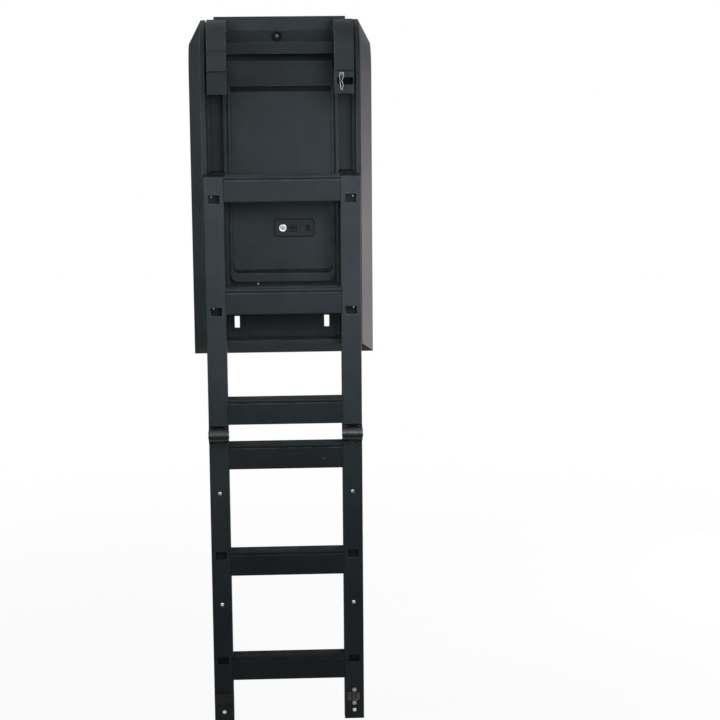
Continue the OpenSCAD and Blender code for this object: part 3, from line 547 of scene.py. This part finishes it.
dome = [(1.0, -0.3), (1.0, 0.12), (0.94, 0.26), (0.80, 0.42), (0.55, 0.56), (0.28, 0.62), (0.01, 0.64)]
recess = [(1.0, -0.3), (1.0, 0.30), (0.90, 0.42), (0.62, 0.44), (0.56, 0.38), (0.52, 0.10), (0.01, 0.08)]
headAround = 32
fasteners = {       # body, slot, profile in head radii, head radius, places (across, depth, up)
    "frame_screw": ("housing", "plated_wire", dome, 2.6, [(-65.7, 21.0, 57.4)]),
    "rail_bolts_upper": ("upper_ladder", "plated_wire", dome, 4.2,
                         [(side * 183.0, 68.8, up) for side in (-1, 1) for up in (292.0, 0.0)]),
    "rail_bolts_lower": ("lower_ladder", "pin_steel", dome, 4.2,
                         [(side * 183.0, 68.8, up) for side in (-1, 1) for up in (-655.0, -946.0)]),
    "rung_screw": ("lower_ladder", "hinge_metal", dome, 4.0, [(99.7, 106.0, -397.1)]),
    "rail_rivets": ("lower_ladder", "plated_wire", dome, 5.0,
                    [(side * 175.0, 105.6, up) for side in (-1, 1) for up in (-486.0, -791.0)]),
    "foot_rivets": ("lower_ladder", "plated_wire", dome, 5.6,
                    [(-175.0, 105.6, -1093.0), (175.0, 105.6, -1094.5)]),
    "foot_screws": ("lower_ladder", "pin_steel", recess, 5.6,
                    [(175.0, 105.6, -1038.0), (175.0, 105.6, -1075.0)]),
}


def makeFasteners():
    for name, (body, slotName, profile, radius, places) in fasteners.items():
        addPiece(name, outwardTurned(np.array(profile) * radius, places, headAround), body, slotName)


# Spring clip: one wire through the eye, a straight leg and a waisted leg, their tips drawn together

clip = {
    "wire": 1.15, "around": 16, "perSpan": 12, "smoothUpTo": 60.0,
    "tip": 4.0,         # steps of the line over which a tip is rounded
    "eyeDrop": 8.1,     # from the top of the node to the middle of the eye
    "bends": [(-0.7, -41.0), (-2.4, -31.0), (-3.8, -18.0), (-4.3, -8.0), (-5.2, -1.0), (-4.3, 4.0), (0.0, 6.4),
              (4.3, 4.0), (5.2, -1.0), (4.2, -7.0), (1.1, -13.5), (0.9, -17.0), (3.4, -23.5), (3.6, -28.0),
              (1.9, -34.0), (1.3, -41.0)],      # across and up, from the middle of the eye
}


def smoothLine(bends, perSpan):
    # Curve through all the bends: each span is a cubic between two of them, and its slope at a bend is half
    # the way from the bend before to the bend after
    bends = np.asarray(bends, float)
    held = np.concatenate([[2 * bends[0] - bends[1]], bends, [2 * bends[-1] - bends[-2]]])
    t = np.linspace(0.0, 1.0, perSpan, endpoint=False)[None, :, None]
    a, b, c, d = (held[k:len(held) - 3 + k][:, None, :] for k in range(4))
    line = 0.5 * (2 * b + (c - a) * t + (2 * a - 5 * b + 4 * c - d) * t ** 2
                  + (3 * b - a - 3 * c + d) * t ** 3)
    return np.concatenate([line.reshape(-1, bends.shape[1]), bends[-1:]])


def makeClip():
    # A circle carried along a flat curve: across it by the curve's normal, and out of its plane by the depth
    low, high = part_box("r_clip")
    x, depth = (low.x + high.x) / 2 / mm, -(low.y + high.y) / 2 / mm
    eye = high.z / mm - clip["eyeDrop"]
    line = smoothLine(clip["bends"], clip["perSpan"])
    along = np.gradient(line, axis=0)
    along /= np.linalg.norm(along, axis=1, keepdims=True)
    across = np.stack([along[:, 1], -along[:, 0]], -1)
    fromTip = np.minimum(np.arange(len(line)), np.arange(len(line))[::-1]) / clip["tip"]
    rounding = np.clip(1 - (1 - np.clip(fromTip, 0.0, 1.0)) ** 2, 0.02, 1.0)
    thick = clip["wire"] * np.sqrt(rounding)
    angle = np.linspace(0.0, 2.0 * np.pi, clip["around"], endpoint=False)
    side = thick[:, None] * np.cos(angle)
    wire = np.stack([x + line[:, 0, None] + side * across[:, 0, None],
                     -depth - thick[:, None] * np.sin(angle),
                     eye + line[:, 1, None] + side * across[:, 1, None]], -1)
    addPiece("spring_clip", wire[None] * mm, "housing", "plated_wire", ["r_clip"], finish="clip_wire",
             smoothed=clip["smoothUpTo"])


makeLock()
makeLatch()
makeRoofBolt()
makeStrips()
makeFasteners()
makeClip()
print("small pieces made")


# Floor, background and light

stage = {
    "floor": -1.1195, "size": 12.0,     # metres: its height, and from the middle to a side
    "near": 0.93, "far": 1.0,           # floor's share of plain white near the ladder and far off
    "fade": (0.9, 3.2),                 # metres from the middle, between which it goes from one to the other
    "rough": 0.9, "specular": 0.1, "cloud": 3.0, "cloudReach": (0.3, 0.7), "greys": (0.88, 0.92),
    "world": 0.08, "tone": (0.90, 0.96, 1.0),
}
lamps = {   # place, aim, width, height, watts, colour, spread in degrees
    "key_right": ((0.7, -1.4, 1.0), (0.1, 0.0, 0.18), 0.7, 0.7, 2.7, (0.84, 0.90, 1.0), 65),
    "key_left": ((-0.5, -1.4, 1.0), (0.0, 0.0, 0.18), 0.7, 0.7, 0.7, (0.88, 1.0, 1.0), 65),
    "front": ((0.2, -1.8, 0.5), (0.05, 0.0, 0.1), 0.7, 0.7, 1.0, (0.88, 0.97, 1.0), 50),
    "left_top": ((-1.3, -0.4, 1.5), (-0.22, 0.0, 0.7), 0.6, 0.6, 1.9, (0.86, 0.95, 1.0), 60),
    "left_side": ((-1.7, -0.7, 0.3), (-0.2, 0.0, 0.2), 0.8, 1.0, 2.7, (0.80, 1.0, 0.95), 90),
    "right_rear": ((2.0, 1.1, -0.5), (0.2, 0.0, 0.0), 1.4, 1.4, 36.0, (1.0, 0.90, 0.95), 180),
    "right_side": ((1.9, 0.7, 0.2), (0.2, 0.0, 0.2), 1.0, 1.6, 12.5, (1.0, 0.92, 1.0), 180),
    "back": ((0.0, 3.2, -0.98), (0.0, 0.0, 0.1), 1.4, 0.2, 14.0, (0.92, 1.0, 1.0), 60),
}
# Cards seen only in reflections: painted dark reflections, and where they glow, painted pale reflections
paintedReflectionCards = {   # place, half sizes, glow: dark surroundings that only reflections show
    "left_card": ((-1.75, 1.1, 0.2), (1.5, 1.6), 0.0),
    "rear_card": ((-0.5, 2.4, 0.3), (1.6, 1.7), 0.0),
    "floor_card": ((-0.3, 1.5, -1.115), (1.2, 0.0), 0.3),
    "ground_card": ((0.0, -3.4, -1.115), (2.9, 0.0), 0.22),
}
cardShared = {"rough": 0.9, "cloud": 2.0, "greys": (0.004, 0.008)}


def flatSheet(name, centre, side, up, material):
    # Corners: the centre, less or plus the half sizes along both edges
    corners = [tuple(centre + a * side + b * up) for a, b in ((-1, -1), (1, -1), (1, 1), (-1, 1))]
    mesh = bpy.data.meshes.new(name)
    mesh.from_pydata(corners, [], [(0, 1, 2, 3)])
    mesh.materials.append(material)
    sheet = bpy.data.objects.new(name, mesh)
    scene.collection.objects.link(sheet)
    return sheet


def seenPlain(nodes):   # rays that are to find the plain white background
    kinds = ("Is Camera Ray", "Is Glossy Ray", "Is Transmission Ray")
    camera, glossy, through = (nodes.node("LightPath", out=kind) for kind in kinds)
    return camera.atLeast(glossy).atLeast(through)


def makeFloor():
    ground = Finish("floor", Roughness=stage["rough"], Specular_IOR_Level=stage["specular"])
    cloud = ground.ramp(ground.noise(ground.here, stage["cloud"]), *stage["cloudReach"])
    ground.feed("Base Color", ground.mixed(cloud, *map(shade, stage["greys"])))
    distance = ground.node("VectorMath", {"operation": "LENGTH"}, out="Value", in0=ground.here)
    away = ground.ramp(distance, *stage["fade"])
    plain = ground.node("Emission", Color=(1.0, 1.0, 1.0, 1.0), Strength=1.0)
    near, far = stage["near"], stage["far"]
    white = seenPlain(ground) * (near + away * (far - near))
    both = ground.node("MixShader", in0=white, in1=ground.surface, in2=plain)
    ground.node("OutputMaterial", {"is_active_output": True}, Surface=both)
    half = stage["size"]
    flatSheet("floor", np.array([0.0, 0.0, stage["floor"]]), np.array([half, 0.0, 0.0]),
              np.array([0.0, half, 0.0]), ground.material)


# A card that only reflections show, a painted reflection; its glow is painted light
def makePaintedReflectionCard(name, place, half, reflectedGlow):
    card = Finish(name, Roughness=cardShared["rough"], Specular_IOR_Level=0.0, Emission_Strength=reflectedGlow)
    cloud = card.noise(card.here, cardShared["cloud"])
    card.feed("Base Color", card.mixed(cloud, *map(shade, cardShared["greys"])))
    place = np.array(place)
    facing = -place / np.linalg.norm(place[:2])
    side = np.array([-facing[1], facing[0], 0.0]) * half[0]
    lying = facing * [half[0], half[0], 0.0]
    up = np.array([0.0, 0.0, half[1]]) if half[1] else lying    # a card without height lies flat
    sheet = flatSheet(name, place, side, up, card.material)
    sheet.visible_camera = sheet.visible_diffuse = sheet.visible_shadow = sheet.visible_transmission = False


def makeWorld():
    world = bpy.data.worlds.new("world")
    scene.world = world
    world.use_nodes = True
    sky = Nodes(world.node_tree)
    light = sky.node("Background", Color=(*stage["tone"], 1.0), Strength=stage["world"])
    white = sky.node("Background", Color=(1.0, 1.0, 1.0, 1.0), Strength=1.0)
    sky.node("OutputWorld", Surface=sky.node("MixShader", in0=seenPlain(sky), in1=light, in2=white))


def makeLamp(name, place, aim, width, height, watts, colour, spread):
    data = bpy.data.lights.new(name, "AREA")
    data.shape, data.size, data.size_y, data.energy, data.color = "RECTANGLE", width, height, watts, colour
    data.spread = math.radians(spread)
    lamp = bpy.data.objects.new(name, data)
    scene.collection.objects.link(lamp)
    lamp.location = place
    lamp.rotation_euler = (Vector(aim) - Vector(place)).to_track_quat("-Z", "Y").to_euler()
    lamp.visible_camera = False
    lamp.visible_glossy = name != "back"    # no glints from behind along the treads


makeFloor()
for name, card in paintedReflectionCards.items():
    makePaintedReflectionCard(name, *card)
makeWorld()
for name, lamp in lamps.items():
    makeLamp(name, *lamp)
scene.view_settings.view_transform = "Standard"
print("stage ready")
